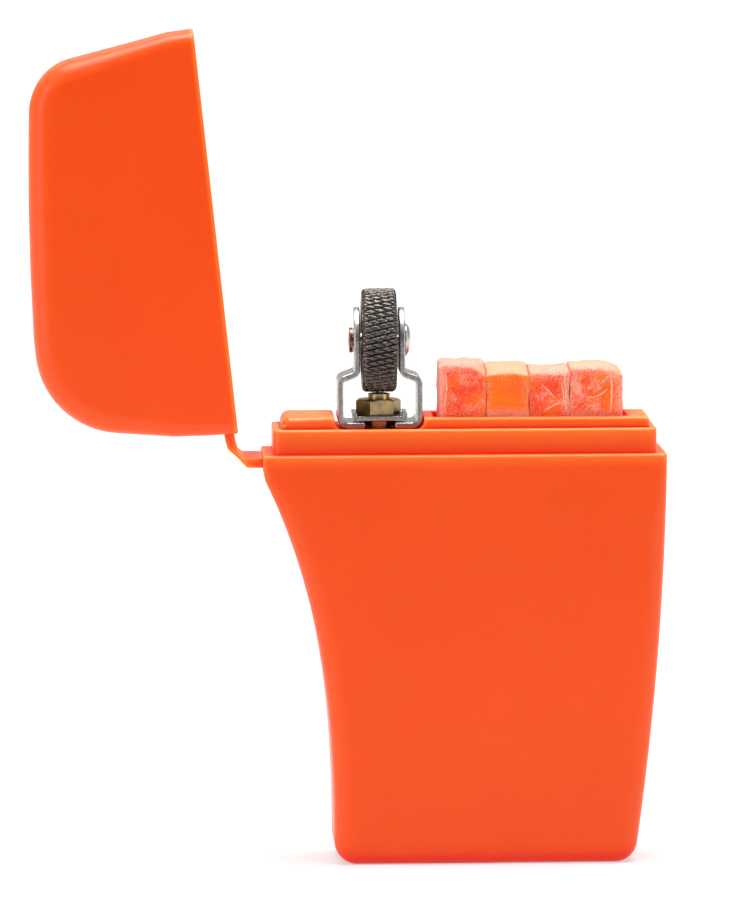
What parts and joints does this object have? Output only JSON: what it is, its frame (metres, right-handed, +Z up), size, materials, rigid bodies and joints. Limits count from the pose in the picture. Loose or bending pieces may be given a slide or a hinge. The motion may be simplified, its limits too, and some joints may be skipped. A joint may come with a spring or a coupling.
{
  "type": "lighter",
  "caption": "Flip-top emergency lighter: a thumb wheel on a steel bracket strikes sparks beside a well of waxed tinder sticks, in a hinged case.",
  "frame": {"origin": "mid depth of the flat bottom of the case, near the middle of the open object's width", "axes": "+Z up out of the case, +X from the hinge towards the free side of the case, +Y from the front face to the back face"},
  "size_m": [0.0882, 0.0186, 0.1159],
  "materials": {
    "orange_abs": "moulded orange plastic with a soft satin sheen",
    "waxed_fibre": "pressed orange fibre soaked in wax, with a pale bloom",
    "tool_steel": "hardened dark steel with cut teeth",
    "bright_steel": "bright rolled steel",
    "zinc_steel": "dull plated steel",
    "brass": "turned brass",
    "spring_steel": "drawn spring wire",
    "flint_alloy": "dark sintered flint alloy"
  },
  "bodies": {
    "case": {"outer_case": "orange_abs", "hinge_film": "orange_abs", "insert_deck": "orange_abs", "wheel_bracket": "bright_steel", "tab_washer": "zinc_steel", "tube_nut": "brass", "flint_tube": "brass", "flint_screw": "brass", "flint_spring": "spring_steel", "axle_rivet": "bright_steel"},
    "lid": {"lid_shell": "orange_abs"},
    "striker_wheel": {"spark_wheel": "tool_steel", "wheel_bush": "bright_steel"},
    "flint_stack": {"flint": "flint_alloy", "spring_tip": "brass"},
    "stick_1": {"tinder_stick_1": "waxed_fibre"},
    "stick_2": {"tinder_stick_2": "waxed_fibre"},
    "stick_3": {"tinder_stick_3": "waxed_fibre"},
    "stick_4": {"tinder_stick_4": "waxed_fibre"}
  },
  "joints": [
    {"name": "lid_hinge", "type": "hinge", "parent": "case", "child": "lid", "pos_m": [-0.03408, 0, 0.05721], "axis": [0, -1, 0], "range_deg": [-96, 84], "deforming": ["hinge_film"]},
    {"name": "wheel_spin", "type": "hinge", "parent": "case", "child": "striker_wheel", "pos_m": [-0.01475, 0, 0.0725], "axis": [1, 0, 0], "continuous": true},
    {"name": "flint_feed", "type": "slide", "parent": "case", "child": "flint_stack", "axis": [0, 0, 1], "range_m": [-0.003, 0], "stiffness_N_per_m": 60, "springref_m": 0.02, "deforming": ["flint_spring"]},
    {"name": "tinder_stick_1_slide", "type": "slide", "parent": "case", "child": "stick_1", "axis": [0, 0, 1], "range_m": [0, 0.042]},
    {"name": "tinder_stick_2_slide", "type": "slide", "parent": "case", "child": "stick_2", "axis": [0, 0, 1], "range_m": [0, 0.042]},
    {"name": "tinder_stick_3_slide", "type": "slide", "parent": "case", "child": "stick_3", "axis": [0, 0, 1], "range_m": [0, 0.042]},
    {"name": "tinder_stick_4_slide", "type": "slide", "parent": "case", "child": "stick_4", "axis": [0, 0, 1], "range_m": [0, 0.042]}
  ]
}
